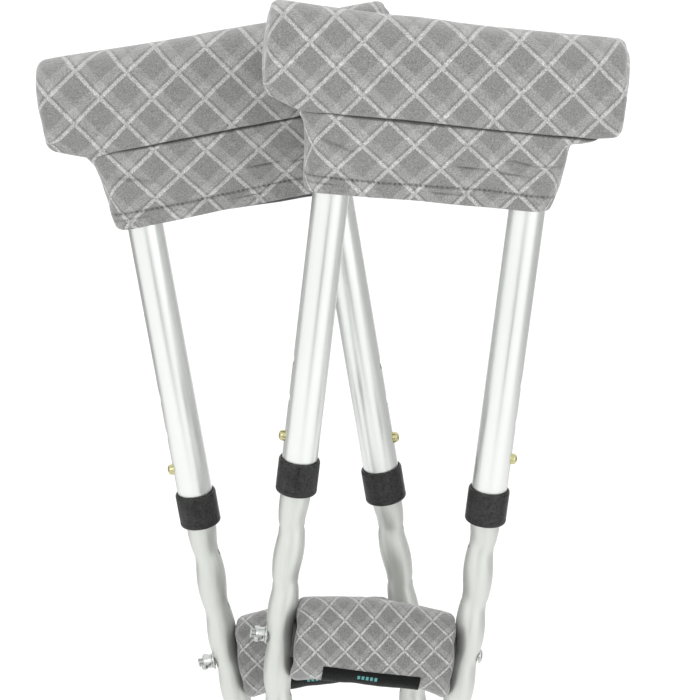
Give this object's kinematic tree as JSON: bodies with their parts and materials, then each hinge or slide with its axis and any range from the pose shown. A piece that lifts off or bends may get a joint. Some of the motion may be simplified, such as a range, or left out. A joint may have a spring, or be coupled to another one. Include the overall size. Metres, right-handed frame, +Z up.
{
  "type": "pair of underarm crutches",
  "caption": "Pair of aluminium underarm crutches standing crossed, with plaid fleece pads, waved bows, snap-button height holes and rubber tips.",
  "frame": {"origin": "on the floor, below the centre of the pair's box", "axes": "+Z up, -Y the front, where the front crutch stands; +X to the right when seen from the front"},
  "size_m": [0.3554, 0.116, 1.2374],
  "materials": {
    "satin_aluminium": "bright satin-anodised drawn tube",
    "matte_aluminium": "matte, warm grey, bead-blasted and anodised tube",
    "black_plastic": "moulded satin black plastic",
    "brass": "polished, pale yellow plated button",
    "steel": "bright zinc-plated steel",
    "grey_fleece": "brushed mid-grey fleece with a plaid of pale lines",
    "foam": "soft closed-cell foam, hidden under the covers",
    "grey_plastic": "moulded grey plastic, hidden under the covers",
    "grey_rubber": "dark grey moulded rubber"
  },
  "bodies": {
    "front_frame": {"front_bow_left": "matte_aluminium", "front_bow_right": "matte_aluminium", "front_height_spring_left": "steel", "front_height_spring_right": "steel", "front_grip_core": "grey_plastic", "front_grip_foam": "foam", "front_grip_cover": "grey_fleece", "front_grip_bolt": "steel", "front_bolt_washer": "steel", "front_leg_tube": "matte_aluminium", "front_leg_rivet_upper": "steel", "front_leg_rivet_lower": "steel", "front_leg_collar": "black_plastic"},
    "front_underarm": {"front_upper_tube_left": "satin_aluminium", "front_upper_tube_right": "satin_aluminium", "front_collar_left": "black_plastic", "front_collar_right": "black_plastic", "front_saddle_screw_left": "steel", "front_saddle_screw_right": "steel", "front_saddle_yoke": "grey_plastic", "front_underarm_pad": "foam", "front_underarm_cover": "grey_fleece"},
    "front_leg": {"front_leg_extension": "satin_aluminium", "front_tip_washer": "steel", "front_rubber_tip": "grey_rubber", "front_leg_spring": "steel"},
    "front_height_button_left_body": {"front_height_button_left": "brass"},
    "front_height_button_right_body": {"front_height_button_right": "brass"},
    "front_leg_button_body": {"front_leg_button": "brass"},
    "front_wing_nut_body": {"front_wing_nut": "steel"},
    "rear_frame": {"rear_bow_left": "matte_aluminium", "rear_bow_right": "matte_aluminium", "rear_height_spring_left": "steel", "rear_height_spring_right": "steel", "rear_grip_core": "grey_plastic", "rear_grip_foam": "foam", "rear_grip_cover": "grey_fleece", "rear_grip_bolt": "steel", "rear_bolt_washer": "steel", "rear_leg_tube": "matte_aluminium", "rear_leg_rivet_upper": "steel", "rear_leg_rivet_lower": "steel", "rear_leg_collar": "black_plastic"},
    "rear_underarm": {"rear_upper_tube_left": "satin_aluminium", "rear_upper_tube_right": "satin_aluminium", "rear_collar_left": "black_plastic", "rear_collar_right": "black_plastic", "rear_saddle_screw_left": "steel", "rear_saddle_screw_right": "steel", "rear_saddle_yoke": "grey_plastic", "rear_underarm_pad": "foam", "rear_underarm_cover": "grey_fleece"},
    "rear_leg": {"rear_leg_extension": "satin_aluminium", "rear_tip_washer": "steel", "rear_rubber_tip": "grey_rubber", "rear_leg_spring": "steel"},
    "rear_height_button_left_body": {"rear_height_button_left": "brass"},
    "rear_height_button_right_body": {"rear_height_button_right": "brass"},
    "rear_leg_button_body": {"rear_leg_button": "brass"},
    "rear_wing_nut_body": {"rear_wing_nut": "steel"}
  },
  "joints": [
    {"name": "rear_crutch_apart", "type": "slide", "parent": "front_frame", "child": "rear_frame", "axis": [0, 1, 0], "range_m": [0, 0.3]},
    {"name": "front_height_slide", "type": "slide", "parent": "front_frame", "child": "front_underarm", "axis": [0.1115, 0, 0.9938], "range_m": [-0.0508, 0], "deforming": ["front_height_button_left", "front_height_button_right"]},
    {"name": "front_leg_slide", "type": "slide", "parent": "front_frame", "child": "front_leg", "axis": [-0.1115, 0, -0.9938], "range_m": [-0.1016, 0.0762], "deforming": ["front_leg_button"]},
    {"name": "front_height_button_left_press", "type": "slide", "parent": "front_frame", "child": "front_height_button_left_body", "axis": [0.9938, 0, -0.1115], "range_m": [0, 0.005], "stiffness_N_per_m": 1000, "deforming": ["front_height_spring_left"]},
    {"name": "front_height_button_right_press", "type": "slide", "parent": "front_frame", "child": "front_height_button_right_body", "axis": [-0.9938, 0, 0.1115], "range_m": [0, 0.005], "stiffness_N_per_m": 1000, "deforming": ["front_height_spring_right"]},
    {"name": "front_leg_button_press", "type": "slide", "parent": "front_leg", "child": "front_leg_button_body", "axis": [0, 1, 0], "range_m": [0, 0.005], "stiffness_N_per_m": 1000, "deforming": ["front_leg_spring"]},
    {"name": "front_wing_nut_turn", "type": "hinge", "parent": "front_frame", "child": "front_wing_nut_body", "pos_m": [-0.04817, -0.03, 0.82531], "axis": [-0.9938, 0, 0.1115], "continuous": true},
    {"name": "rear_height_slide", "type": "slide", "parent": "rear_frame", "child": "rear_underarm", "axis": [-0.1564, 0, 0.9877], "range_m": [-0.0508, 0], "deforming": ["rear_height_button_left", "rear_height_button_right"]},
    {"name": "rear_leg_slide", "type": "slide", "parent": "rear_frame", "child": "rear_leg", "axis": [0.1564, 0, -0.9877], "range_m": [-0.0762, 0.1016], "deforming": ["rear_leg_button"]},
    {"name": "rear_height_button_left_press", "type": "slide", "parent": "rear_frame", "child": "rear_height_button_left_body", "axis": [0.9877, 0, 0.1564], "range_m": [0, 0.005], "stiffness_N_per_m": 1000, "deforming": ["rear_height_spring_left"]},
    {"name": "rear_height_button_right_press", "type": "slide", "parent": "rear_frame", "child": "rear_height_button_right_body", "axis": [-0.9877, 0, -0.1564], "range_m": [0, 0.005], "stiffness_N_per_m": 1000, "deforming": ["rear_height_spring_right"]},
    {"name": "rear_leg_button_press", "type": "slide", "parent": "rear_leg", "child": "rear_leg_button_body", "axis": [0, 1, 0], "range_m": [0, 0.005], "stiffness_N_per_m": 1000, "deforming": ["rear_leg_spring"]},
    {"name": "rear_wing_nut_turn", "type": "hinge", "parent": "rear_frame", "child": "rear_wing_nut_body", "pos_m": [-0.08292, 0.03, 0.77598], "axis": [-0.9877, 0, -0.1564], "continuous": true}
  ]
}
